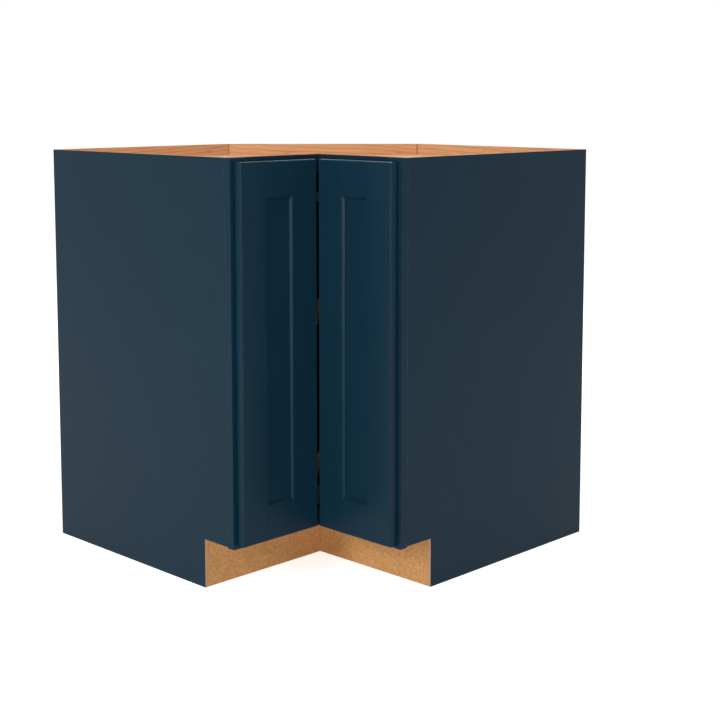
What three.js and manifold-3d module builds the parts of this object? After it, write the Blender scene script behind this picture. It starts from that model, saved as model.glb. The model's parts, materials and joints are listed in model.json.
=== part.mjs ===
// Corner carousel base cabinet: an L-shaped case that fits a room's inside corner,
// with a bi-fold pair of doors and two pie-cut trays that turn on a centre post.
//
// The cabinet is drawn in corner coordinates: the origin is where the two walls meet
// at the floor, u runs along the left wall, v along the right wall, z is up.
// The last lines turn that frame so that the doors face +X and -Y.

import * as THREE from 'three';
import { mergeVertices } from 'three/addons/utils/BufferGeometryUtils.js';
import Module from 'manifold-3d';

// ---- Driving dimensions, in millimetres -------------------------------------------

const SEAT = 0.3; // clearance left between any two pieces that touch

// Case
const SIDE_DEPTH = 604;
const HEIGHT = 876;
const BACK_CORNER_LEG = 336; // length that the diagonal back cuts off each wall run
const END_PLY = 12;
const BACK_PLY = 6;
const DECK_PLY = 12;
const TOP_RECESS = 26;

// Face frame
const FRAME_THICK = 19;
const STILE_WIDTH = 38;
const TOP_RAIL = 38;
const BOTTOM_RAIL = 38;

// Toe space
const TOE_HEIGHT = 99;
const TOE_DEPTH = 90;
const NOTCH_RISE = 2.5; // the end panels are notched this much above the frame's foot
const KICK_THICK = 12;

// Hanging rails behind the top of the case
const HANG_RAIL = 64;
const HANG_THICK = 12;

// Doors
const LEAF_THICK = 19;
const LEAF_STAND = 2; // gap between door back and face frame, held by the bumpers
const LEAF_CORNER = 3.5; // gap from a leaf's inner edge to the other leaf's front
const LEAF_WIDTH = 200.5;
const OUTER_REVEAL = 9;
const TOP_REVEAL = 8;
const BOTTOM_REVEAL = 7;
const LEAF_STILE = 70;
const LEAF_RAIL = 76;
const PANEL_THICK = 6;
const PANEL_DEPTH = 6.5; // how far the panel lies behind the leaf's front
const STICKING = 4; // width of the bevel round the panel
const STICKING_LAND = 1.2; // square step between panel and bevel
const GROOVE = 8;

// Cup hinges on the left stile
const HINGE_INSET = 77; // from a leaf's end to the middle of its hinge
const CUP_RADIUS = 17.5;
const CUP_WALL = 2;
const CUP_DEPTH = 11.5;
const CUP_FLANGE = 1.2;
const CUP_WING = 56; // length of the flange, screw to screw and beyond
const CUP_WING_WIDTH = 17;
const CUP_INSET = 26; // cup centre from the leaf's outer edge
const ARM_PIN_DEPTH = 4; // arm pin behind the leaf's back, inside the cup
const SWING_DEPTH = 11; // line that the leaf turns about, from the leaf's back
const CRANK_PIN_SIDE = 12; // crank pin from the stile's inner edge
const CRANK_PIN_BACK = 12; // crank pin behind the frame's front
const HINGE_PIN = 2;
const LINK_BOSS = 4;
const LINK_HALF = 2.6;
const CRANK_HALF_HEIGHT = 4.3;
const ARM_CHEEK = 2;
const EAR_THICK = 2;
const EAR_RADIUS = 5;
const PLATE_THICK = 2;
const PLATE_HALF_HEIGHT = 22;
const PLATE_BACK = 17.5;
const PLATE_FRONT = 2.5;
const WEB_START = 0.7; // share of the arm, from the crank, where its cheeks join

// Bi-fold hinges between the leaves
const FOLD_PIN_BACK = 5; // pin behind both leaf fronts
const KNUCKLE = 3.5;
const FOLD_PIN = 1.5;
const WING_THICK = 2;
const WING_HALF_HEIGHT = 30;
const WING_EDGE = 1.5; // wing's margin inside the leaf's back edge
const KNUCKLE_HALF_HEIGHT = 9;
const MID_KNUCKLE = 3; // half height of the middle knuckle

// Catch and bumpers
const CATCH_SIZE = { side: 14, back: 20, height: 40 };
const STRIKE = { width: 15, thick: 1, height: 34 };
const BUMPER_RADIUS = 5;
const BUMPER_INSET = 22;

// Carousel
const TRAY_RADIUS = 300;
const TRAY_BACK_GAP = 8; // between the trays and the diagonal back
const NOTCH_REACH = 110; // from the post's centre lines to the notch's faces
const TRAY_PLY = 12;
const RIM_HEIGHT = 56;
const BACK_RIM_THICK = 6;
const FRONT_RIM_THICK = 12;
const LOWER_TRAY = 25; // tray underside above the case floor
const UPPER_TRAY = 365;
const TUBE = { outer: 12.5, wall: 1.5 };
const INNER_TUBE_WALL = 1.5;
const LOWER_TUBE_TOP = 470; // above the case floor
const TUBE_LAP = 120;
const HUB = { flange: 50, thick: 4, sleeve: 22, rise: 28 };
const COLLAR = { radius: 24, height: 15 };
const CLAMP = { radius: 20, height: 24 };
const BASE = { radius: 42, thick: 4, socket: 24 };
const TOP_BRACKET = { width: 90, thick: 3, socket: 16, drop: 28 };

const OVERCUT = 1; // how far a cutting body runs past what it cuts

const RIM_STEPS = 64;
const ROUND_STEPS = 32;
const PIN_STEPS = 16;

// ---- Places worked out from the dimensions ----------------------------------------

const leafBack = SIDE_DEPTH + LEAF_STAND;
const leafFront = leafBack + LEAF_THICK;
const leafInner = leafFront + LEAF_CORNER;
const leafOuter = leafInner + LEAF_WIDTH;
const wallRun = leafOuter + OUTER_REVEAL;
const frameBack = SIDE_DEPTH - FRAME_THICK;
const sideInner = wallRun - END_PLY;
const stileInner = wallRun - STILE_WIDTH;
const kickFace = SIDE_DEPTH - TOE_DEPTH;
const floorTop = TOE_HEIGHT + BOTTOM_RAIL;
const topUnder = HEIGHT - TOP_RECESS - DECK_PLY;
const leafBottom = TOE_HEIGHT + BOTTOM_REVEAL;
const leafTop = HEIGHT - TOP_REVEAL;
const panelBack = LEAF_THICK - PANEL_DEPTH - PANEL_THICK;
const trayToDiagonal = TRAY_RADIUS + TRAY_BACK_GAP + BACK_PLY;
const postPlace = (BACK_CORNER_LEG + trayToDiagonal * Math.SQRT2) / 2; // post from each wall
const hingeHeights = { lower: leafBottom + HINGE_INSET, upper: leafTop - HINGE_INSET };

// ---- Solids -------------------------------------------------------------------------

const wasm = await Module();
wasm.setup();

function toSolid(geometry) {
  const bare = geometry.clone();
  bare.deleteAttribute('normal');
  bare.deleteAttribute('uv');
  const merged = mergeVertices(bare, 1e-4);
  return new wasm.Manifold(new wasm.Mesh({
    numProp: 3,
    vertProperties: new Float32Array(merged.attributes.position.array),
    triVerts: new Uint32Array(merged.index.array),
  }));
}

function toGeometry(solid) {
  const mesh = solid.getMesh();
  const geometry = new THREE.BufferGeometry();
  geometry.setAttribute('position', new THREE.BufferAttribute(mesh.vertProperties, 3));
  geometry.setIndex(new THREE.BufferAttribute(mesh.triVerts, 1));
  geometry.computeVertexNormals();
  return geometry;
}

function join(first, ...others) {
  return toGeometry(others.reduce((sum, next) => sum.add(toSolid(next)), toSolid(first)));
}

function cut(first, ...others) {
  return toGeometry(others.reduce((sum, next) => sum.subtract(toSolid(next)), toSolid(first)));
}

function block([u0, u1], [v0, v1], [z0, z1]) {
  const box = new THREE.BoxGeometry(u1 - u0, v1 - v0, z1 - z0);
  return box.translate((u0 + u1) / 2, (v0 + v1) / 2, (z0 + z1) / 2);
}

function extrude(outline, depth, steps = PIN_STEPS) {
  const isShape = outline instanceof THREE.Shape;
  const shape = isShape ? outline : new THREE.Shape(outline.map(([x, y]) => new THREE.Vector2(x, y)));
  return new THREE.ExtrudeGeometry(shape, { depth, bevelEnabled: false, curveSegments: steps });
}

const ordered = (a, b) => [Math.min(a, b), Math.max(a, b)];

// A prism standing on a plan outline of [u, v] points.
function upright(outline, [z0, z1], steps) {
  return extrude(outline, z1 - z0, steps).translate(0, 0, z0);
}

// A prism along u whose section is given as [v, z] points.
function alongU(section, [u0, u1]) {
  const turn = new THREE.Matrix4().makeBasis(
    new THREE.Vector3(0, 1, 0), new THREE.Vector3(0, 0, 1), new THREE.Vector3(1, 0, 0));
  return extrude(section, u1 - u0).applyMatrix4(turn).translate(u0, 0, 0);
}

// A prism along v whose section is given as [u, z] points.
function alongV(section, [v0, v1]) {
  const turn = new THREE.Matrix4().makeBasis(
    new THREE.Vector3(0, 0, 1), new THREE.Vector3(1, 0, 0), new THREE.Vector3(0, 1, 0));
  const swapped = section.map(([u, z]) => [z, u]);
  return extrude(swapped, v1 - v0).applyMatrix4(turn).translate(0, v0, 0);
}

// A body of revolution about v from a profile of [radius, v] points.
function turned(profile, steps = ROUND_STEPS) {
  const points = profile.map(([r, y]) => new THREE.Vector2(r, y));
  const loop = THREE.ShapeUtils.area(points) < 0 ? points.reverse() : points;
  const onAxis = loop.some((point) => point.x === 0);
  if (!onAxis) return new THREE.LatheGeometry([...loop, loop[0]], steps);
  const start = loop.findIndex((point, i) => point.x === 0 && loop.at(i - 1).x === 0);
  return new THREE.LatheGeometry([...loop.slice(start), ...loop.slice(0, start)], steps);
}

// The same about z from [radius, z] points.
function turnedUp(profile, steps) {
  return turned(profile, steps).rotateX(Math.PI / 2);
}

// A plain pin along z.
function pin(radius, [x, y], [z0, z1], steps = PIN_STEPS) {
  const round = new THREE.CylinderGeometry(radius, radius, z1 - z0, steps).rotateX(Math.PI / 2);
  return round.translate(x, y, (z0 + z1) / 2);
}

// A tube or ring about z.
function ring(outer, inner, [z0, z1], steps = ROUND_STEPS) {
  return turnedUp([[inner, z0], [outer, z0], [outer, z1], [inner, z1]], steps);
}

// ---- Materials ----------------------------------------------------------------------

const paint = () => new THREE.MeshStandardMaterial({ color: 0x1d3a4c, roughness: 0.42 });
const maple = () => new THREE.MeshStandardMaterial({ color: 0xd9a173, roughness: 0.55 });
const chipboard = () => new THREE.MeshStandardMaterial({ color: 0xb98350, roughness: 0.85 });
const steel = () => new THREE.MeshStandardMaterial({ color: 0xb9bcc0, roughness: 0.32, metalness: 1 });
const darkSteel = () => new THREE.MeshStandardMaterial({ color: 0x232426, roughness: 0.45 });
const chrome = () => new THREE.MeshStandardMaterial({ color: 0xd8dadd, roughness: 0.12, metalness: 1 });
const blackPlastic = () => new THREE.MeshStandardMaterial({ color: 0x1c1d1f, roughness: 0.5 });
const whitePlastic = () => new THREE.MeshStandardMaterial({ color: 0xe4e2dc, roughness: 0.45 });
const rubber = () => new THREE.MeshStandardMaterial({ color: 0x8f9194, roughness: 0.7 });

function piece(name, geometry, material) {
  const mesh = new THREE.Mesh(geometry, material());
  mesh.name = name;
  return mesh;
}

function group(...members) {
  const made = new THREE.Group();
  made.add(...members);
  return made;
}

// The left and right halves of the case mirror each other across the line u = v,
// so a right-hand piece takes the left-hand ranges with u and v exchanged.
const isLeft = (side) => side === 'left';
const sideBlock = (side, along, across, z) =>
  (isLeft(side) ? block(along, across, z) : block(across, along, z));
const sidePrism = (side, section, span) =>
  (isLeft(side) ? alongU(section, span) : alongV(section, span));
const sidePoint = (side, along, across) => (isLeft(side) ? [along, across] : [across, along]);
const SIDES = ['left', 'right'];

// ---- Case ---------------------------------------------------------------------------

function endPanel(side) {
  const front = frameBack - SEAT;
  const notchTop = TOE_HEIGHT + NOTCH_RISE;
  const section = [
    [0, 0], [kickFace, 0], [kickFace, notchTop],
    [front, notchTop], [front, HEIGHT], [0, HEIGHT],
  ];
  return piece(`end_panel_${side}`, sidePrism(side, section, [sideInner, wallRun]), paint);
}

function backPanel(side) {
  const shape = sideBlock(side, [BACK_CORNER_LEG, sideInner - SEAT], [0, BACK_PLY], [0, HEIGHT]);
  return piece(`back_panel_${side}`, shape, maple);
}

function diagonalBack() {
  const slant = BACK_PLY * Math.SQRT2; // the panel's thickness measured along a wall
  const end = BACK_CORNER_LEG - SEAT;
  const outline = [[end, SEAT], [end, slant + SEAT], [slant + SEAT, end], [SEAT, end]];
  return piece('back_panel_diagonal', upright(outline, [0, HEIGHT]), maple);
}

// Plan of a panel that fills the case between its walls, its back and the face frame.
function deckOutline() {
  const side = sideInner - SEAT;
  const back = BACK_PLY + SEAT;
  const front = frameBack - SEAT;
  const diagonal = BACK_CORNER_LEG + (BACK_PLY + SEAT) * Math.SQRT2 - back;
  return [
    [side, back], [side, front], [front, front], [front, side],
    [back, side], [back, diagonal], [diagonal, back],
  ];
}

function floorPanel() {
  return piece('floor_panel', upright(deckOutline(), [floorTop - DECK_PLY, floorTop]), maple);
}

function topPanel() {
  return piece('top_panel', upright(deckOutline(), [topUnder, topUnder + DECK_PLY]), maple);
}

// The left kick board runs through the corner and the right one butts against it.
function toeKick(side) {
  const start = isLeft(side) ? kickFace - KICK_THICK : kickFace + SEAT;
  const height = floorTop - DECK_PLY - SEAT;
  const across = [kickFace - KICK_THICK, kickFace];
  const shape = sideBlock(side, [start, sideInner - SEAT], across, [0, height]);
  return piece(`toe_kick_${side}`, shape, chipboard);
}

function frameStile(side) {
  const shape = sideBlock(side, [stileInner, wallRun], [frameBack, SIDE_DEPTH], [TOE_HEIGHT, HEIGHT]);
  return piece(`frame_stile_${side}`, shape, paint);
}

function frameRail(place, side) {
  const start = isLeft(side) ? frameBack : SIDE_DEPTH + SEAT;
  const z = place === 'top' ? [HEIGHT - TOP_RAIL, HEIGHT] : [TOE_HEIGHT, floorTop];
  const shape = sideBlock(side, [start, stileInner - SEAT], [frameBack, SIDE_DEPTH], z);
  return piece(`${place}_rail_${side}`, shape, paint);
}

function hangRail(side) {
  const near = BACK_PLY + SEAT;
  const top = topUnder - SEAT;
  const span = [BACK_CORNER_LEG + SEAT, sideInner - SEAT];
  const shape = sideBlock(side, span, [near, near + HANG_THICK], [top - HANG_RAIL, top]);
  return piece(`hang_rail_${side}`, shape, maple);
}

function buildCase() {
  const made = group(diagonalBack(), floorPanel(), topPanel());
  for (const side of SIDES) {
    made.add(endPanel(side), backPanel(side), toeKick(side), frameStile(side), hangRail(side));
    made.add(frameRail('top', side), frameRail('bottom', side));
  }
  return made;
}

// ---- Doors --------------------------------------------------------------------------

// Section of a leaf's frame member. s runs from its outer edge to the panel, t from the
// leaf's back to its front. The panel sits in the groove, and the bevel frames it.
function memberSection(width) {
  const grooveBack = panelBack - SEAT;
  const grooveFront = panelBack + PANEL_THICK + SEAT;
  const bottom = width - GROOVE;
  return [
    [0, 0], [width, 0], [width, grooveBack], [bottom, grooveBack],
    [bottom, grooveFront], [width, grooveFront], [width, grooveFront + STICKING_LAND],
    [width - STICKING, LEAF_THICK], [0, LEAF_THICK],
  ];
}

// What a rail's end has to leave free for the stile it is coped over.
function stileSpace() {
  const grooveBack = panelBack;
  const grooveFront = panelBack + PANEL_THICK;
  const edge = LEAF_STILE + SEAT;
  const bottom = LEAF_STILE - GROOVE + SEAT;
  const past = LEAF_THICK + LEAF_STAND;
  const bevelRun = STICKING / (LEAF_THICK - grooveFront - SEAT - STICKING_LAND);
  const landTop = grooveFront + SEAT + STICKING_LAND;
  return [
    [-SEAT, -LEAF_STAND], [edge, -LEAF_STAND], [edge, grooveBack], [bottom, grooveBack],
    [bottom, grooveFront], [edge, grooveFront], [edge, landTop],
    [edge - bevelRun * (past - landTop), past], [-SEAT, past],
  ];
}

// s is measured from the leaf's outer edge, or from its inner edge for the inner stile.
const fromOuter = (s) => leafOuter - s;
const fromInner = (s) => leafInner + s;

function stilePrism(side, section, place, z) {
  return upright(section.map(([s, t]) => sidePoint(side, place(s), leafBack + t)), z);
}

function cupBore(height) {
  const depth = CUP_DEPTH + SEAT;
  const bore = new THREE.CylinderGeometry(CUP_RADIUS + SEAT, CUP_RADIUS + SEAT, 2 * depth, ROUND_STEPS);
  return bore.translate(leafOuter - CUP_INSET, leafBack, height);
}

function leafStile(side, edge) {
  const place = edge === 'outer' ? fromOuter : fromInner;
  const blank = stilePrism(side, memberSection(LEAF_STILE), place, [leafBottom, leafTop]);
  const bored = edge === 'outer' && isLeft(side);
  const shape = bored ? cut(blank, ...Object.values(hingeHeights).map(cupBore)) : blank;
  return piece(`door_${side}_stile_${edge}`, shape, paint);
}

function leafRail(side, place) {
  const up = place === 'bottom';
  const height = (s) => (up ? leafBottom + s : leafTop - s);
  const section = memberSection(LEAF_RAIL).map(([s, t]) => [leafBack + t, height(s)]);
  const tenon = LEAF_STILE - GROOVE + SEAT;
  const blank = sidePrism(side, section, [leafInner + tenon, leafOuter - tenon]);
  const z = ordered(height(-OVERCUT), height(LEAF_RAIL + OVERCUT));
  const stiles = [fromOuter, fromInner].map((end) => stilePrism(side, stileSpace(), end, z));
  return piece(`door_${side}_rail_${place}`, cut(blank, ...stiles), paint);
}

function leafPanel(side) {
  const across = [leafBack + panelBack, leafBack + panelBack + PANEL_THICK];
  const inStile = LEAF_STILE - GROOVE + 2 * SEAT;
  const inRail = LEAF_RAIL - GROOVE + 2 * SEAT;
  const z = [leafBottom + inRail, leafTop - inRail];
  const shape = sideBlock(side, [leafInner + inStile, leafOuter - inStile], across, z);
  return piece(`door_${side}_panel`, shape, paint);
}

function buildLeaf(side) {
  return group(
    leafStile(side, 'outer'), leafStile(side, 'inner'),
    leafRail(side, 'top'), leafRail(side, 'bottom'), leafPanel(side));
}

// ---- Cup hinges ---------------------------------------------------------------------

// The hinge is drawn about the outer front corner of the left stile: x is outward along
// the wall run, y is forward. Crank and arm make a parallelogram with the leaf, so the
// crank turns with the leaf and the arm keeps its direction.
const swingAxis = [-OUTER_REVEAL, LEAF_STAND + SWING_DEPTH];
const armPin = [-OUTER_REVEAL - CUP_INSET, LEAF_STAND + ARM_PIN_DEPTH];
const crankPin = [-STILE_WIDTH - CRANK_PIN_SIDE, -CRANK_PIN_BACK];
const elbowPin = [crankPin[0] + armPin[0] - swingAxis[0], crankPin[1] + armPin[1] - swingAxis[1]];
const cheekTop = CRANK_HALF_HEIGHT + SEAT + ARM_CHEEK;
const earTop = cheekTop + SEAT + EAR_THICK;

const partWay = (a, b, share) => [a[0] + (b[0] - a[0]) * share, a[1] + (b[1] - a[1]) * share];

// A flat bar from a to b with round ends.
function bar(a, b, half, z) {
  const angle = Math.atan2(b[1] - a[1], b[0] - a[0]);
  const shape = new THREE.Shape();
  shape.absarc(a[0], a[1], half, angle + Math.PI / 2, angle + 1.5 * Math.PI);
  shape.absarc(b[0], b[1], half, angle - Math.PI / 2, angle + Math.PI / 2);
  return upright(shape, z, PIN_STEPS / 2);
}

function hingePlate(place) {
  const inner = -STILE_WIDTH - SEAT;
  const height = [-PLATE_HALF_HEIGHT, PLATE_HALF_HEIGHT];
  const foot = block([inner - PLATE_THICK, inner], [-PLATE_BACK, -PLATE_FRONT], height);
  const root = [inner - PLATE_THICK / 2, crankPin[1]];
  const ears = [1, -1].map((up) => {
    const z = ordered(up * earTop, up * (earTop - EAR_THICK));
    const neck = block([crankPin[0], root[0]], [root[1] - EAR_RADIUS, root[1] + EAR_RADIUS], z);
    return join(neck, pin(EAR_RADIUS, crankPin, z));
  });
  const rivet = pin(HINGE_PIN, crankPin, [-earTop, earTop]);
  return piece(`hinge_plate_${place}`, join(foot, ...ears, rivet), steel);
}

function hingeCrank(place) {
  const z = [-CRANK_HALF_HEIGHT, CRANK_HALF_HEIGHT];
  const open = [z[0] - OVERCUT, z[1] + OVERCUT];
  const eyes = [crankPin, elbowPin].map((axis) => pin(HINGE_PIN + SEAT, axis, open));
  return piece(`hinge_crank_${place}`, cut(bar(crankPin, elbowPin, LINK_BOSS, z), ...eyes), steel);
}

function hingeArm(place) {
  const cheeks = [1, -1].map((up) => {
    const z = ordered(up * cheekTop, up * (cheekTop - ARM_CHEEK));
    return join(bar(elbowPin, armPin, LINK_HALF, z), pin(LINK_BOSS, elbowPin, z));
  });
  const webFrom = partWay(elbowPin, armPin, WEB_START);
  const web = bar(webFrom, armPin, LINK_HALF, [-cheekTop, cheekTop]);
  const boss = pin(LINK_BOSS, armPin, [-cheekTop, cheekTop]);
  const rivet = pin(HINGE_PIN, elbowPin, [-cheekTop, cheekTop]);
  const eye = pin(HINGE_PIN + SEAT, armPin, [-cheekTop - OVERCUT, cheekTop + OVERCUT]);
  return piece(`hinge_arm_${place}`, cut(join(...cheeks, web, boss, rivet), eye), steel);
}

function hingeCup(place) {
  const inner = CUP_RADIUS - CUP_WALL;
  const mouth = LEAF_STAND - SEAT;
  const lip = mouth - CUP_FLANGE;
  const bottom = LEAF_STAND + CUP_DEPTH;
  const bowl = turned([
    [0, bottom], [CUP_RADIUS, bottom], [CUP_RADIUS, lip],
    [inner, lip], [inner, bottom - CUP_WALL], [0, bottom - CUP_WALL],
  ]).translate(armPin[0], 0, 0);
  const across = [armPin[0] - CUP_WING_WIDTH / 2, armPin[0] + CUP_WING_WIDTH / 2];
  const wing = block(across, [lip, mouth], [-CUP_WING / 2, CUP_WING / 2]);
  const mouthCut = new THREE.CylinderGeometry(inner, inner, 2 * (CUP_FLANGE + OVERCUT), ROUND_STEPS);
  const opening = mouthCut.translate(armPin[0], mouth, 0);
  const rivet = pin(HINGE_PIN, armPin, [-inner - CUP_WALL / 2, inner + CUP_WALL / 2]);
  return piece(`hinge_cup_${place}`, join(cut(join(bowl, wing), opening), rivet), steel);
}

function cupHinge(place) {
  const made = group(hingePlate(place), hingeCrank(place), hingeArm(place), hingeCup(place));
  made.position.set(wallRun, SIDE_DEPTH, hingeHeights[place]);
  return made;
}

// ---- Bi-fold hinges -----------------------------------------------------------------

const foldPin = leafFront - FOLD_PIN_BACK;

// Drawn about its pin; the wing lies on the leaf's inner edge, behind the pin.
function foldWing(side, place, knuckleRanges, parts) {
  const reach = leafInner - foldPin - SEAT;
  const across = [leafBack - foldPin + WING_EDGE, WING_THICK / 2];
  const height = [-WING_HALF_HEIGHT, WING_HALF_HEIGHT];
  const wing = sideBlock(side, [reach - WING_THICK, reach], across, height);
  const knuckles = knuckleRanges.flatMap((z) => [
    pin(KNUCKLE, [0, 0], z),
    sideBlock(side, [0, reach - WING_THICK / 2], [-WING_THICK / 2, WING_THICK / 2], z),
  ]);
  return piece(`fold_hinge_${place}_${side}`, parts(join(wing, ...knuckles)), darkSteel);
}

function foldHinge(place) {
  const end = KNUCKLE_HALF_HEIGHT;
  const outside = [[MID_KNUCKLE + SEAT, end], [-end, -MID_KNUCKLE - SEAT]];
  const inside = [[-MID_KNUCKLE, MID_KNUCKLE]];
  const rod = pin(FOLD_PIN, [0, 0], [-end, end]);
  const bore = pin(FOLD_PIN + SEAT, [0, 0], [-end, end]);
  const made = group(
    foldWing('left', place, outside, (wing) => join(wing, rod)),
    foldWing('right', place, inside, (wing) => cut(wing, bore)));
  made.position.set(foldPin, foldPin, hingeHeights[place]);
  return made;
}

// ---- Catch and bumpers on the right side ----------------------------------------------

const doorMiddle = (leafBottom + leafTop) / 2;

function magneticCatch() {
  const side = stileInner - SEAT;
  const front = SIDE_DEPTH + LEAF_STAND - 2 * SEAT - STRIKE.thick;
  const z = [doorMiddle - CATCH_SIZE.height / 2, doorMiddle + CATCH_SIZE.height / 2];
  const shape = block([front - CATCH_SIZE.back, front], [side - CATCH_SIZE.side, side], z);
  return piece('magnetic_catch', shape, whitePlastic);
}

function catchStrike() {
  const middle = stileInner - SEAT - CATCH_SIZE.side / 2;
  const near = leafBack - SEAT - STRIKE.thick;
  const z = [doorMiddle - STRIKE.height / 2, doorMiddle + STRIKE.height / 2];
  const across = [middle - STRIKE.width / 2, middle + STRIKE.width / 2];
  const shape = block([near, near + STRIKE.thick], across, z);
  return piece('catch_strike', shape, steel);
}

function bumper(place) {
  const thick = LEAF_STAND - 2 * SEAT;
  const z = place === 'upper' ? leafTop - BUMPER_INSET : leafBottom + BUMPER_INSET;
  const pad = new THREE.CylinderGeometry(BUMPER_RADIUS, BUMPER_RADIUS, thick, PIN_STEPS);
  const mesh = piece(`bumper_${place}`, pad.rotateZ(Math.PI / 2), rubber);
  mesh.position.set(SIDE_DEPTH + LEAF_STAND / 2, leafOuter - BUMPER_INSET / 2, z);
  return mesh;
}

// ---- Carousel ------------------------------------------------------------------------

const notchEnd = (radius, reach) => Math.sqrt(radius * radius - reach * reach);
const tubeInner = TUBE.outer - TUBE.wall;
const innerTube = tubeInner - SEAT;

// A round outline with a square notch facing the doors.
function pieCut(radius, reach) {
  const end = notchEnd(radius, reach);
  const from = Math.atan2(end, reach);
  const to = 2 * Math.PI + Math.atan2(reach, end);
  const shape = new THREE.Shape();
  shape.absarc(0, 0, radius, from, to);
  shape.lineTo(reach, reach);
  return shape;
}

function trayFloor(level) {
  const radius = TRAY_RADIUS - BACK_RIM_THICK - SEAT;
  const reach = NOTCH_REACH - FRONT_RIM_THICK - SEAT;
  const shape = pieCut(radius, reach);
  const hole = new THREE.Path();
  hole.absarc(0, 0, HUB.sleeve + SEAT, 0, 2 * Math.PI);
  shape.holes.push(hole);
  return piece(`tray_${level}_floor`, upright(shape, [0, TRAY_PLY], RIM_STEPS), maple);
}

// The bent rim follows the round edge and ends against the backs of the front rim.
function trayBackRim(level) {
  const reach = NOTCH_REACH;
  const inner = TRAY_RADIUS - BACK_RIM_THICK;
  const from = Math.atan2(notchEnd(TRAY_RADIUS, reach), reach);
  const to = 2 * Math.PI + Math.atan2(reach, notchEnd(TRAY_RADIUS, reach));
  const shape = new THREE.Shape();
  shape.absarc(0, 0, TRAY_RADIUS, from, to);
  shape.absarc(0, 0, inner, to, from, true);
  return piece(`tray_${level}_back_rim`, upright(shape, [0, RIM_HEIGHT], RIM_STEPS), maple);
}

function trayFrontRim(level) {
  const face = NOTCH_REACH;
  const back = NOTCH_REACH - FRONT_RIM_THICK;
  const radius = TRAY_RADIUS - BACK_RIM_THICK - SEAT;
  const outline = [
    [face, face], [notchEnd(radius, face), face], [notchEnd(radius, back), back],
    [back, back], [back, notchEnd(radius, back)], [face, notchEnd(radius, face)],
  ];
  return piece(`tray_${level}_front_rim`, upright(outline, [0, RIM_HEIGHT]), maple);
}

function trayHub(level) {
  const bore = TUBE.outer + SEAT;
  const top = TRAY_PLY + HUB.rise;
  const profile = [
    [bore, hubUnderside], [HUB.flange, hubUnderside], [HUB.flange, -SEAT],
    [HUB.sleeve, -SEAT], [HUB.sleeve, top], [bore, top],
  ];
  return piece(`tray_${level}_hub`, turnedUp(profile), whitePlastic);
}

function trayGroup(level, rise) {
  const made = group(trayFloor(level), trayBackRim(level), trayFrontRim(level), trayHub(level));
  made.position.z = rise;
  return made;
}

// A collar fixed to the post carries the upper tray's hub.
const hubUnderside = -HUB.thick - SEAT;

function trayCollar() {
  const top = UPPER_TRAY + hubUnderside - SEAT;
  const shape = ring(COLLAR.radius, TUBE.outer + SEAT, [top - COLLAR.height, top]);
  return piece('tray_upper_collar', shape, steel);
}

// The base holds the post's foot and carries the lower tray's hub.
function postBase() {
  const top = LOWER_TRAY + hubUnderside - 2 * SEAT;
  const profile = [
    [0, 0], [BASE.radius, 0], [BASE.radius, BASE.thick], [BASE.socket, BASE.thick],
    [BASE.socket, top], [TUBE.outer + SEAT, top], [TUBE.outer + SEAT, BASE.thick], [0, BASE.thick],
  ];
  const mesh = piece('post_base', turnedUp(profile), steel);
  mesh.position.z = SEAT;
  return mesh;
}

function lowerTube() {
  const z = [BASE.thick + 2 * SEAT, LOWER_TUBE_TOP];
  return piece('post_lower_tube', ring(TUBE.outer, tubeInner, z), chrome);
}

function upperTube() {
  const top = topUnder - floorTop - TOP_BRACKET.thick - 2 * SEAT;
  const z = [LOWER_TUBE_TOP - TUBE_LAP, top];
  return piece('post_upper_tube', ring(innerTube, innerTube - INNER_TUBE_WALL, z), chrome);
}

// The clamp grips the inner tube where it leaves the outer one.
function tubeClamp() {
  const half = CLAMP.height / 2;
  const profile = [
    [innerTube + SEAT, LOWER_TUBE_TOP + SEAT], [TUBE.outer + SEAT, LOWER_TUBE_TOP + SEAT],
    [TUBE.outer + SEAT, LOWER_TUBE_TOP - half], [CLAMP.radius, LOWER_TUBE_TOP - half],
    [CLAMP.radius, LOWER_TUBE_TOP + half], [innerTube + SEAT, LOWER_TUBE_TOP + half],
  ];
  return piece('post_clamp', turnedUp(profile), blackPlastic);
}

function topBracket() {
  const half = TOP_BRACKET.width / 2;
  const plate = block([-half, half], [-half, half], [-TOP_BRACKET.thick, 0]);
  const height = [-TOP_BRACKET.drop, -TOP_BRACKET.thick / 2];
  const socket = ring(TOP_BRACKET.socket, innerTube + SEAT, height);
  const mesh = piece('post_top_bracket', join(plate, socket), steel);
  mesh.position.z = topUnder - floorTop - SEAT;
  return mesh;
}

function buildCarousel() {
  const made = group(postBase(), lowerTube(), upperTube(), tubeClamp(), topBracket(), trayCollar());
  made.add(trayGroup('lower', LOWER_TRAY), trayGroup('upper', UPPER_TRAY));
  made.position.set(postPlace, postPlace, floorTop);
  return made;
}

// ---- The whole cabinet -----------------------------------------------------------------

const corner = group(buildCase(), buildLeaf('left'), buildLeaf('right'), buildCarousel());
corner.add(cupHinge('lower'), cupHinge('upper'), foldHinge('lower'), foldHinge('upper'));
corner.add(magneticCatch(), catchStrike(), bumper('lower'), bumper('upper'));
corner.rotation.z = -Math.PI / 2;
corner.position.set(-wallRun / 2, wallRun / 2, 0);

const cabinet = group(corner);
cabinet.name = 'corner_carousel_cabinet';

export default cabinet;
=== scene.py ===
"""Looks for the corner carousel cabinet: rounds the CAD pieces' edges, gives every face its
material, and sets the floor, the light and the camera. Lengths are in metres."""

import json
import math

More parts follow.
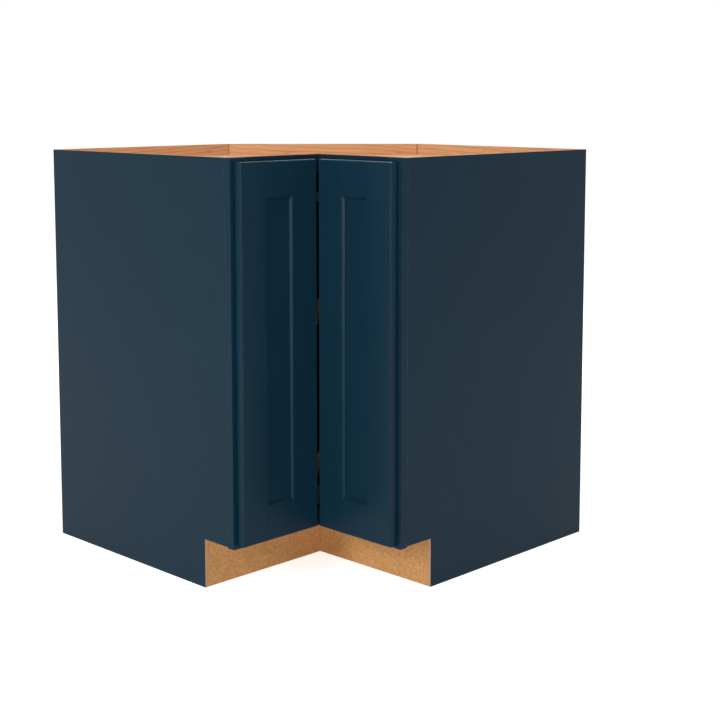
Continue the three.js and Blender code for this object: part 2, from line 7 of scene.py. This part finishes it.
import bmesh
import bpy
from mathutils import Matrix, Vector


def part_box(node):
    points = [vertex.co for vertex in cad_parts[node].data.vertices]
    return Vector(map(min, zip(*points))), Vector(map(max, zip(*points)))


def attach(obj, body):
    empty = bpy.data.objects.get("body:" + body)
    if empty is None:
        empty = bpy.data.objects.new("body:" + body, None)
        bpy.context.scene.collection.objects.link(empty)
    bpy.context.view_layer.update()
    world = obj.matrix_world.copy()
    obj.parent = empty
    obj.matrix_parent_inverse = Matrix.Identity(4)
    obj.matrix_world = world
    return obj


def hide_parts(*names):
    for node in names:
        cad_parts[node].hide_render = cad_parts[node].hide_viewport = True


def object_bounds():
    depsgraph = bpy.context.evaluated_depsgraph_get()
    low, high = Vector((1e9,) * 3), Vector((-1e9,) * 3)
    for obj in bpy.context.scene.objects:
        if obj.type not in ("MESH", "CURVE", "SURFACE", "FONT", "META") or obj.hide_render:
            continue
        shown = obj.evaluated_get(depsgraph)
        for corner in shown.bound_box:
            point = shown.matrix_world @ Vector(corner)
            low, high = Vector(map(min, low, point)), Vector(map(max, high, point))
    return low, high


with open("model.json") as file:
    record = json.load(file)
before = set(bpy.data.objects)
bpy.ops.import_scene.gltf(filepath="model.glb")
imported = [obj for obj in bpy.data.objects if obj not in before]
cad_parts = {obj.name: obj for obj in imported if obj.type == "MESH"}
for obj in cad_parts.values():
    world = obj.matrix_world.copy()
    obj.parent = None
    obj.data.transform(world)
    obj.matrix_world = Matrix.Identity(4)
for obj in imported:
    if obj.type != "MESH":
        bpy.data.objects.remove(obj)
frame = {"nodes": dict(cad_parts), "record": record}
cad_low, cad_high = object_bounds()
X, Y, Z = range(3)
SIDES = ("left", "right")
PLACES = ("lower", "upper")
BODY_NODES = frame["record"]["behaviour"]["bodies"]
NODE_BODY = {node: body for body, nodes in BODY_NODES.items() for node in nodes}

# ---- Material building blocks ------------------------------------------------------------


class Nodes:
    """A material's node tree, with short ways to add what the materials below share."""

    def __init__(self, name, **sockets):
        self.material = bpy.data.materials.new(name)
        self.material.use_nodes = True
        self.tree = self.material.node_tree
        self.shader = self.tree.nodes["Principled BSDF"]
        for socket, value in sockets.items():
            self.shader.inputs[socket.replace("_", " ")].default_value = value

    def add(self, kind, inputs=None, **settings):
        node = self.tree.nodes.new(kind)
        for key, value in settings.items():
            setattr(node, key, value)
        for key, value in (inputs or {}).items():
            socket = node.inputs[key]
            if isinstance(value, bpy.types.NodeSocket):
                self.tree.links.new(value, socket)
            else:
                socket.default_value = value
        return node

    def place(self, scale=(1, 1, 1), turn=(0, 0, 0), move=(0, 0, 0)):
        """The shared frame's coordinates, turned, moved and then scaled."""
        coordinates = self.add("ShaderNodeTexCoord").outputs["Object"]
        inputs = {"Vector": coordinates, "Rotation": turn, "Location": move}
        moved = self.add("ShaderNodeMapping", inputs).outputs[0]
        return self.add("ShaderNodeMapping", {"Vector": moved, "Scale": scale}).outputs[0]

    def noise(self, vector, scale, detail, roughness):
        inputs = {"Vector": vector, "Scale": scale, "Detail": detail, "Roughness": roughness}
        return self.add("ShaderNodeTexNoise", inputs).outputs["Fac"]

    def math(self, operation, a, b=0.0):
        return self.add("ShaderNodeMath", {0: a, 1: b}, operation=operation).outputs[0]

    def total(self, a, share_a, b, share_b):
        """The sum of two values, each taken at its share."""
        return self.math("ADD", self.math("MULTIPLY", a, share_a), self.math("MULTIPLY", b, share_b))

    def remap(self, value, low, high, to_low=0.0, to_high=1.0, smooth=False):
        kind = "SMOOTHSTEP" if smooth else "LINEAR"
        inputs = {"Value": value, "From Min": low, "From Max": high,
                  "To Min": to_low, "To Max": to_high}
        return self.add("ShaderNodeMapRange", inputs, interpolation_type=kind).outputs[0]

    def blend(self, share, a, b):
        inputs = {0: share, 6: a, 7: b}  # the factor and the two colour sockets
        return self.add("ShaderNodeMix", inputs, data_type="RGBA").outputs[2]

    def finish(self, colour, roughness, height, depth, strength):
        """Joins the colour, the roughness and a bump of the given depth to the shader."""
        self.tree.links.new(colour, self.shader.inputs["Base Color"])
        self.tree.links.new(roughness, self.shader.inputs["Roughness"])
        inputs = {"Height": height, "Distance": depth, "Strength": strength}
        bump = self.add("ShaderNodeBump", inputs)
        self.tree.links.new(bump.outputs[0], self.shader.inputs["Normal"])
        return self.material


def tone(*rgb):
    """A colour given in 0 to 255 screen values."""
    shares = [value / 255 for value in rgb]
    linear = [s / 12.92 if s <= 0.04045 else ((s + 0.055) / 1.055) ** 2.4 for s in shares]
    return (*linear, 1.0)


def darker(rgb, share):
    """The colour with its screen values cut to the given share."""
    return tone(*[int(value * share) for value in rgb])


# ---- Materials ---------------------------------------------------------------------------

GRAIN_ALONG = {
    "x": (0, 0, 0),
    "y": (0, 0, math.radians(90)),
    "z": (0, math.radians(90), 0),
    "diagonal": (0, 0, math.radians(-45)),
}
RINGS_PER_METRE = 110.0
PLIES = 7


def satin_paint(name, along, shine=0.32, gloss=0.09):
    """Dark blue satin paint, sprayed over wood whose grain barely shows."""
    spread = 0.05  # how far the roughness wanders to either side
    n = Nodes(name, Roughness=shine, Specular_IOR_Level=gloss)
    turned = n.place(turn=GRAIN_ALONG[along])
    grain = n.noise(n.place(scale=(6, 160, 160), turn=GRAIN_ALONG[along]), 1.0, 6.0, 0.6)
    cloud = n.noise(turned, 7.0, 3.0, 0.5)
    peel = n.noise(turned, 900.0, 2.0, 0.5)
    colour = n.blend(cloud, tone(15, 44, 60), tone(18, 48, 64))
    colour = n.blend(n.remap(grain, 0.55, 0.75, 0.0, 0.35), colour, tone(11, 38, 53))
    uneven = n.total(cloud, 0.6, grain, 0.4)
    roughness = n.remap(uneven, 0.3, 0.7, shine - spread, shine + spread)
    return n.finish(colour, roughness, n.total(peel, 0.5, grain, 1.0), 0.00006, 0.35)


def maple(name, along, pale=(247, 198, 150), dark=(228, 164, 116), shine=0.65, seed=0.0):
    """Sliced maple veneer with short flecks. Its arched figure is where the sheet cuts the growth
    rings of a log that lies almost along it and wanders a little."""
    n = Nodes(name, Roughness=shine, Specular_IOR_Level=0.05)
    turn = GRAIN_ALONG[along]
    start = (seed, 0, 0)
    wander = n.noise(n.place(scale=(1.1, 5, 5), turn=turn, move=start), 1.0, 3.0, 0.55)
    ripple = n.noise(n.place(scale=(7, 45, 45), turn=turn, move=start), 1.0, 2.0, 0.5)
    log = n.place(scale=(0.16, 1, 1), turn=turn, move=(seed, 0.11 + seed * 0.02, 0.07))
    parts = n.add("ShaderNodeSeparateXYZ", {0: log}).outputs
    across = n.math("ADD", parts[Y], n.total(wander, 0.13, ripple, 0.012))
    deep = n.math("ADD", parts[Z], n.math("MULTIPLY", parts[X], 0.3))
    across2 = n.math("MULTIPLY", across, across)
    deep2 = n.math("MULTIPLY", deep, deep)
    radius = n.math("SQRT", n.math("ADD", across2, deep2))
    ring = n.math("FRACT", n.math("MULTIPLY", radius, RINGS_PER_METRE))
    line = n.math("POWER", ring, 5.0)  # dark only where a ring ends
    tint = n.noise(n.place(scale=(2, 14, 14), turn=turn, move=(seed * 3, 0, 0)), 1.0, 4.0, 0.6)
    fibre = n.noise(n.place(scale=(25, 900, 900), turn=turn), 1.0, 3.0, 0.6)
    fleck = n.noise(n.place(scale=(24, 170, 170), turn=turn), 1.0, 1.0, 0.5)
    colour = n.blend(n.remap(tint, 0.3, 0.7), tone(*pale), tone(*dark))
    colour = n.blend(n.math("MULTIPLY", line, 0.6), colour, darker(dark, 0.74))
    colour = n.blend(n.remap(fibre, 0.5, 0.75, 0.0, 0.22), colour, darker(dark, 0.8))
    colour = n.blend(n.remap(fleck, 0.62, 0.72, 0.0, 0.3), colour, darker(dark, 0.78))
    roughness = n.remap(fibre, 0.3, 0.7, shine - 0.06, shine + 0.1)
    height = n.math("SUBTRACT", n.math("MULTIPLY", fibre, 0.6), n.math("MULTIPLY", line, 0.4))
    return n.finish(colour, roughness, height, 0.00008, 0.35)


def ply_edge(name, axis, origin, thickness):
    """Sawn edge of plywood: thin plies, every other one showing end grain. They are stacked along
    the axis, from the origin on."""
    n = Nodes(name, Roughness=0.75, Specular_IOR_Level=0.03)
    parts = n.add("ShaderNodeSeparateXYZ", {0: n.place()}).outputs
    ramp = n.math("MULTIPLY", n.math("SUBTRACT", parts[axis], origin), PLIES / thickness)
    wobble = n.noise(n.place(), 60.0, 2.0, 0.5)
    layer = n.math("ADD", ramp, n.math("MULTIPLY", n.math("SUBTRACT", wobble, 0.5), 0.12))
    even = n.math("GREATER_THAN", n.math("FRACT", n.math("MULTIPLY", layer, 0.5)), 0.5)
    glue = n.remap(n.math("PINGPONG", layer, 0.5), 0.0, 0.08, 1.0, 0.0)
    pores = n.noise(n.place(), 1400.0, 2.0, 0.6)
    streak = n.noise(n.place(scale=(30, 30, 700)), 1.0, 2.0, 0.6)
    long_grain = n.blend(streak, tone(232, 190, 144), tone(212, 166, 120))
    end_grain = n.blend(pores, tone(204, 156, 112), tone(172, 124, 84))
    colour = n.blend(even, long_grain, end_grain)
    colour = n.blend(n.math("MULTIPLY", glue, 0.6), colour, tone(104, 66, 40))
    return n.finish(colour, n.remap(pores, 0.3, 0.7, 0.68, 0.85), pores, 0.0002, 0.4)


def chipboard(name):
    """Raw particleboard: pressed flakes from sawdust size to a few millimetres."""
    n = Nodes(name, Roughness=0.85, Specular_IOR_Level=0.15)
    place = n.place()
    warp = n.add("ShaderNodeTexNoise", {"Vector": place, "Scale": 120.0, "Detail": 2.0})
    moved = n.add("ShaderNodeVectorMath", {0: warp.outputs["Color"], 1: (0.006, 0.006, 0.006)},
                  operation="MULTIPLY").outputs[0]
    flaked = n.add("ShaderNodeVectorMath", {0: place, 1: moved}, operation="ADD").outputs[0]
    inputs = {"Vector": flaked, "Scale": 330.0, "Randomness": 1.0}
    chips = n.add("ShaderNodeTexVoronoi", inputs).outputs["Color"]
    value = n.add("ShaderNodeSeparateColor", {0: chips}).outputs[0]
    dust = n.noise(place, 900.0, 6.0, 0.75)
    patch = n.noise(place, 14.0, 3.0, 0.5)
    colour = n.blend(n.remap(value, 0.15, 0.95), tone(206, 152, 95), tone(232, 181, 122))
    colour = n.blend(n.remap(dust, 0.5, 0.72, 0.0, 0.55), colour, tone(150, 102, 60))
    colour = n.blend(n.remap(dust, 0.42, 0.3, 0.0, 0.6), colour, tone(236, 196, 146))
    colour = n.blend(n.remap(patch, 0.35, 0.7, 0.0, 0.3), colour, tone(196, 144, 92))
    height = n.math("ADD", n.math("MULTIPLY", value, 0.4), dust)
    return n.finish(colour, n.remap(dust, 0.3, 0.7, 0.78, 0.92), height, 0.0003, 0.45)


def metal(name, colour, low, high):
    """Bare or plated metal with fine drawn lines in its shine, rough from low to high."""
    n = Nodes(name, Metallic=1.0)
    lines = n.noise(n.place(scale=(40, 40, 900)), 1.0, 4.0, 0.6)
    smudge = n.noise(n.place(), 30.0, 3.0, 0.5)
    shade = n.blend(smudge, tone(*colour), darker(colour, 0.93))
    uneven = n.total(lines, 0.6, smudge, 0.4)
    return n.finish(shade, n.remap(uneven, 0.3, 0.7, low, high), lines, 0.00003, 0.3)


def plastic(name, colour, low, high, **sockets):
    """Moulded plastic with a fine spark-eroded grain, rough from low to high."""
    n = Nodes(name, **sockets)
    grain = n.noise(n.place(), 1600.0, 2.0, 0.5)
    cloud = n.noise(n.place(), 40.0, 2.0, 0.5)
    shade = n.blend(cloud, tone(*colour), darker(colour, 0.94))
    return n.finish(shade, n.remap(grain, 0.3, 0.7, low, high), grain, 0.00005, 0.3)


PAINT_UP = satin_paint("paint_grain_up", "z")
PAINT_X = satin_paint("paint_grain_x", "x")
PAINT_Y = satin_paint("paint_grain_y", "y")
RAIL_PAINT = {"left": PAINT_Y, "right": PAINT_X}
PAINT_HIDDEN = satin_paint("paint_under_worktop", "x", 0.85, 0.0)  # thin overspray, no shine
MAPLE = {along: maple(f"maple_grain_{along}", along) for along in GRAIN_ALONG}
RAW = {along: maple(f"raw_back_grain_{along}", along, (205, 158, 112), (182, 130, 86), 0.7, 2.3)
       for along in ("x", "y", "diagonal")}
CHIPBOARD = chipboard("chipboard_raw")
STEEL = metal("nickel_plate", (190, 190, 188), 0.24, 0.38)
# Painted shade: the fold hinges sit in the shadowed gap between the two leaves, so their colour is
# painted near black and drawn as a dark, matt plastic.
PAINTED_SHADE_HINGE = plastic("hinge_painted_shade_dark", (14, 14, 15), 0.5, 0.65, Specular_IOR_Level=0.15)
CHROME = metal("bright_chrome", (214, 216, 218), 0.06, 0.14)
BLACK = plastic("black_moulding", (26, 27, 29), 0.42, 0.55)
WHITE = plastic("white_moulding", (226, 224, 216), 0.36, 0.48)
RUBBER = plastic("bumper_gel", (150, 152, 154), 0.3, 0.45, Transmission_Weight=0.2)

# ---- Dressing the CAD pieces -------------------------------------------------------------

WELD = 1e-6
ON_PLANE = 2e-5
SHARP = math.radians(28)
FLAT = math.radians(0.3)
FACING = 0.9  # cosine above which a face counts as turned to a direction


def joined_facets(node):
    """The CAD node's faces as a mesh whose flat facets are joined into whole faces."""
    work = bmesh.new()
    work.from_mesh(frame["nodes"][node].data)
    bmesh.ops.remove_doubles(work, verts=work.verts, dist=WELD)
    bmesh.ops.dissolve_limit(work, angle_limit=FLAT, verts=work.verts, edges=work.edges)
    work.normal_update()
    return work


def round_edges(work, radius, segments, where):
    """Rounds the sharp outer edges that where(edge) picks."""
    picked = [e for e in work.edges if len(e.link_faces) == 2 and e.is_convex
              and e.calc_face_angle(0) > SHARP and where(e)]
    if picked:
        bmesh.ops.bevel(work, geom=picked, offset=radius, offset_type="OFFSET", segments=segments,
                        profile=0.5, affect="EDGES", clamp_overlap=True)


def dress(node, materials, rounds, choose=None):
    """Shows a copy of the CAD node with rounded edges in its place. choose(normal) says which of
    the materials a face gets."""
    work = joined_facets(node)
    if choose:
        for face in work.faces:
            face.material_index = choose(face.normal)
    for rounding in rounds:
        round_edges(work, *rounding)
    for face in work.faces:
        face.smooth = True
    for edge in work.edges:
        edge.smooth = not (len(edge.link_faces) == 2 and edge.calc_face_angle(0) > SHARP)
    mesh = bpy.data.meshes.new(node + "_dressed")
    work.to_mesh(mesh)
    work.free()
    for material in materials:
        mesh.materials.append(material)
    piece = bpy.data.objects.new(node + "_dressed", mesh)
    bpy.context.scene.collection.objects.link(piece)
    weighted = piece.modifiers.new("even_shading", "WEIGHTED_NORMAL")
    weighted.keep_sharp = True
    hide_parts(node)
    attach(piece, NODE_BODY[node])


def evenly(radius, segments):
    """Rounds every sharp outer edge alike."""
    return ((radius, segments, lambda edge: True),)


def on_planes(*planes):
    """Picks edges that lie in every given plane: (axis, place) pairs."""
    def test(edge):
        return all(abs(v.co[axis] - place) < ON_PLANE for v in edge.verts for axis, place in planes)
    return test


def any_of(*tests):
    return lambda edge: any(test(edge) for test in tests)


SHEET_EDGE = evenly(0.0003, 1)
RAIL_EDGE = evenly(0.0004, 1)
PLY_EDGE = evenly(0.0005, 2)
STILE_EDGE = evenly(0.0007, 2)
STAMPED_EDGE = evenly(0.0003, 2)
PRESSED_EDGE = evenly(0.0006, 2)
GEL_EDGE = evenly(0.0005, 3)
MOULDED_EDGE = evenly(0.001, 3)
WORN_EDGE = evenly(0.0012, 3)
HANDLED_EDGE = evenly(0.0015, 3)

# ---- Case --------------------------------------------------------------------------------

low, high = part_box("end_panel_left")
LEFT_FACE = low.y
RIGHT_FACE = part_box("end_panel_right")[1].x
PLY = high.y - low.y

SAWN = {
    "left": ply_edge("ply_edge_left", Y, LEFT_FACE, PLY),
    "right": ply_edge("ply_edge_right", X, RIGHT_FACE - PLY, PLY),
}


def dress_end_panels():
    """Painted outside, veneered inside, with bare sawn edges."""
    outward = {"left": Vector((0, -1, 0)), "right": Vector((1, 0, 0))}
    for side in SIDES:
        def choose(normal, out=outward[side]):
            facing = normal.dot(out)
            return 0 if facing > FACING else 1 if facing < -FACING else 2
        dress(f"end_panel_{side}", (PAINT_UP, MAPLE["z"], SAWN[side]), PLY_EDGE, choose)


def dress_back():
    inward = {"left": Vector((1, 0, 0)), "right": Vector((0, -1, 0)),
              "diagonal": Vector((1, -1, 0)).normalized()}
    grain = {"left": "y", "right": "x", "diagonal": "diagonal"}
    for place, into in inward.items():
        def choose(normal, into=into):
            return 0 if normal.dot(into) > FACING else 1
        along = grain[place]
        dress(f"back_panel_{place}", (MAPLE[along], RAW[along]), SHEET_EDGE, choose)


def dress_decks():
    for node in ("floor_panel", "top_panel"):
        dress(node, (MAPLE["x"],), SHEET_EDGE)
    for side, along in (("left", "y"), ("right", "x")):
        dress(f"hang_rail_{side}", (MAPLE[along],), PLY_EDGE)
        dress(f"toe_kick_{side}", (CHIPBOARD,), RAIL_EDGE)


def dress_face_frame():
    """Painted in front and on the outside, bare wood behind, dull on the hidden top edge."""
    back = {"left": Vector((-1, 0, 0)), "right": Vector((0, 1, 0))}
    for side, along in (("left", "y"), ("right", "x")):
        def choose(normal, back=back[side]):
            return 1 if normal.dot(back) > FACING else 2 if normal.z > FACING else 0
        stile_looks = (PAINT_UP, MAPLE["z"], PAINT_HIDDEN)
        rail_looks = (RAIL_PAINT[side], MAPLE[along], PAINT_HIDDEN)
        dress(f"frame_stile_{side}", stile_looks, STILE_EDGE, choose)
        for place in ("top", "bottom"):
            dress(f"{place}_rail_{side}", rail_looks, RAIL_EDGE, choose)


# ---- Doors -------------------------------------------------------------------------------

FRONT_ROUND = (0.0028, 5)  # radius and segments
BACK_ROUND = (0.0012, 3)


def leaf_planes(side):
    """The leaf's front, back and four outer planes as (axis, place)."""
    boxes = [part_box(node) for node in NODE_BODY if node.startswith(f"door_{side}_")]
    lo = Vector([min(box[0][axis] for box in boxes) for axis in (X, Y, Z)])
    hi = Vector([max(box[1][axis] for box in boxes) for axis in (X, Y, Z)])
    if side == "left":
        return (X, hi.x), (X, lo.x), ((Y, lo.y), (Y, hi.y), (Z, lo.z), (Z, hi.z))
    return (Y, lo.y), (Y, hi.y), ((X, lo.x), (X, hi.x), (Z, lo.z), (Z, hi.z))


def dress_doors():
    for side in SIDES:
        front, back, rim = leaf_planes(side)
        inner = rim[1] if side == "left" else rim[0]  # the edge that meets the other leaf
        in_front = any_of(*[on_planes(front, plane) for plane in rim if plane != inner])
        behind = any_of(*[on_planes(back, plane) for plane in rim])
        corners = any_of(*[on_planes(a, b) for a in rim[:2] for b in rim[2:]])
        meeting = on_planes(front, inner)
        rounds = ((*FRONT_ROUND, in_front), (*BACK_ROUND, any_of(behind, corners, meeting)))
        for part in ("stile_outer", "stile_inner"):
            dress(f"door_{side}_{part}", (PAINT_UP,), rounds)
        for part in ("rail_top", "rail_bottom"):
            dress(f"door_{side}_{part}", (RAIL_PAINT[side],), rounds)
        dress(f"door_{side}_panel", (PAINT_UP,), ())


# ---- Hinges, catch, bumpers and carousel -------------------------------------------------


def dress_hardware():
    for place in PLACES:
        for part in ("plate", "crank", "arm", "cup"):
            dress(f"hinge_{part}_{place}", (STEEL,), STAMPED_EDGE)
        for side in SIDES:
            # The fold hinges get the near-black colour that paints the shade of the gap they sit in.
            dress(f"fold_hinge_{place}_{side}", (PAINTED_SHADE_HINGE,), STAMPED_EDGE)
        dress(f"bumper_{place}", (RUBBER,), GEL_EDGE)
    dress("catch_strike", (STEEL,), STAMPED_EDGE)
    dress("magnetic_catch", (WHITE,), MOULDED_EDGE)


def dress_carousel():
    for node in ("post_base", "post_top_bracket", "tray_upper_collar"):
        dress(node, (STEEL,), PRESSED_EDGE)
    for node in ("post_lower_tube", "post_upper_tube"):
        dress(node, (CHROME,), STAMPED_EDGE)
    dress("post_clamp", (BLACK,), WORN_EDGE)
    for level in PLACES:
        dress(f"tray_{level}_floor", (MAPLE["x"],), SHEET_EDGE)
        dress(f"tray_{level}_back_rim", (MAPLE["x"],), WORN_EDGE)
        dress(f"tray_{level}_front_rim", (MAPLE["x"],), HANDLED_EDGE)
        dress(f"tray_{level}_hub", (WHITE,), MOULDED_EDGE)


dress_end_panels()
dress_back()
dress_decks()
dress_face_frame()
dress_doors()
dress_hardware()
dress_carousel()

# ---- Floor, light and camera -------------------------------------------------------------

FLOOR_REACH = 12.0
FLOOR_DROP = 0.0004  # keeps the floor clear of the faces that stand on it
FLOOR_BASE = (0.85, 0.85, 0.85, 1)
FLOOR_GLOW = 0.75  # share of white that the floor shows near the cabinet, before any light
FLOOR_FADE = (0.8, 2.6)  # distance over which the floor turns fully white
WORLD_FILL = 0.18  # strength of the world as a light
WORLD_SEEN = 1.0  # strength of the world as it is seen
WHITE_LIGHT = (1, 1, 1, 1)
LAMPS = (
    # name, place, aim, width, height, power in watts
    ("left_front", (0.7, -3.4, 1.8), (0, 0, 0.4), 1.3, 1.3, 46),
    ("right_front", (3.2, -0.7, 2.4), (0, 0, 0.5), 1.4, 1.4, 9),
    ("corner_strip", (2.5, -2.5, 0.6), (0.2, -0.2, 0.5), 1.8, 0.5, 36),
    ("overhead", (0.3, -0.2, 3.2), (0, 0, 0.5), 2.0, 2.0, 26),
    ("back_fill", (-2.4, 2.8, 2.2), (0, 0, 0.5), 1.6, 1.6, 36),
)
CAMERA_PLACE = Vector((2.255, -2.167, 0.997))
CAMERA_HEADING = math.radians(45.48)  # from -x towards +y
CAMERA_PITCH = math.radians(-6.40)
CAMERA_SHIFT = -0.15  # keeps the verticals nearer to upright, as in the photo
FOCAL_PIXELS = 1403.2
FRAME_PIXELS = 720
SENSOR_WIDTH = 36


def seen_directly(tree):
    """1 for camera, glossy and transmission rays, else 0."""
    paths = tree.nodes.new("ShaderNodeLightPath")
    total = paths.outputs["Is Camera Ray"]
    for ray in ("Is Glossy Ray", "Is Transmission Ray"):
        either = tree.nodes.new("ShaderNodeMath")
        either.operation = "MAXIMUM"
        tree.links.new(total, either.inputs[0])
        tree.links.new(paths.outputs[ray], either.inputs[1])
        total = either.outputs[0]
    return total


def make_floor():
    mesh = bpy.data.meshes.new("floor")
    level = cad_low.z - FLOOR_DROP
    corners = [(-FLOOR_REACH, -FLOOR_REACH, level), (FLOOR_REACH, -FLOOR_REACH, level),
               (FLOOR_REACH, FLOOR_REACH, level), (-FLOOR_REACH, FLOOR_REACH, level)]
    mesh.from_pydata(corners, [], [(0, 1, 2, 3)])
    floor = bpy.data.objects.new("floor", mesh)
    bpy.context.scene.collection.objects.link(floor)
    n = Nodes("floor_white", Roughness=0.9, Specular_IOR_Level=0.0)
    n.shader.inputs["Base Color"].default_value = FLOOR_BASE
    n.shader.inputs["Emission Color"].default_value = WHITE_LIGHT
    away = n.add("ShaderNodeVectorMath", {0: n.place()}, operation="LENGTH").outputs["Value"]
    white = n.remap(away, *FLOOR_FADE, FLOOR_GLOW, 1.0, smooth=True)
    glow = n.math("MULTIPLY", seen_directly(n.tree), white)
    n.tree.links.new(glow, n.shader.inputs["Emission Strength"])
    mesh.materials.append(n.material)


def make_world():
    world = bpy.data.worlds.new("studio")
    bpy.context.scene.world = world
    world.use_nodes = True
    tree = world.node_tree
    background = tree.nodes["Background"]
    background.inputs["Color"].default_value = WHITE_LIGHT
    strength = tree.nodes.new("ShaderNodeMapRange")
    tree.links.new(seen_directly(tree), strength.inputs["Value"])
    strength.inputs["To Min"].default_value = WORLD_FILL
    strength.inputs["To Max"].default_value = WORLD_SEEN
    tree.links.new(strength.outputs[0], background.inputs["Strength"])


def make_lamp(name, place, aim, width, height, power):
    data = bpy.data.lights.new(name, "AREA")
    data.shape = "ELLIPSE"
    data.size = width
    data.size_y = height
    data.energy = power
    lamp = bpy.data.objects.new(name, data)
    lamp.visible_camera = False
    bpy.context.scene.collection.objects.link(lamp)
    lamp.location = place
    lamp.rotation_euler = (Vector(aim) - Vector(place)).to_track_quat("-Z", "Y").to_euler()


def make_camera():
    data = bpy.data.cameras.new("camera")
    data.sensor_width = SENSOR_WIDTH
    data.lens = SENSOR_WIDTH * FOCAL_PIXELS / FRAME_PIXELS
    data.shift_y = CAMERA_SHIFT
    camera = bpy.data.objects.new("camera", data)
    bpy.context.scene.collection.objects.link(camera)
    flat = math.cos(CAMERA_PITCH)
    look = Vector((-math.cos(CAMERA_HEADING) * flat, math.sin(CAMERA_HEADING) * flat,
                   math.sin(CAMERA_PITCH)))
    camera.location = CAMERA_PLACE
    camera.rotation_mode = "QUATERNION"
    camera.rotation_quaternion = look.to_track_quat("-Z", "Y")
    bpy.context.scene.camera = camera


make_floor()
make_world()
for lamp in LAMPS:
    make_lamp(*lamp)
make_camera()

scene = bpy.context.scene
scene.view_settings.view_transform = "Standard"
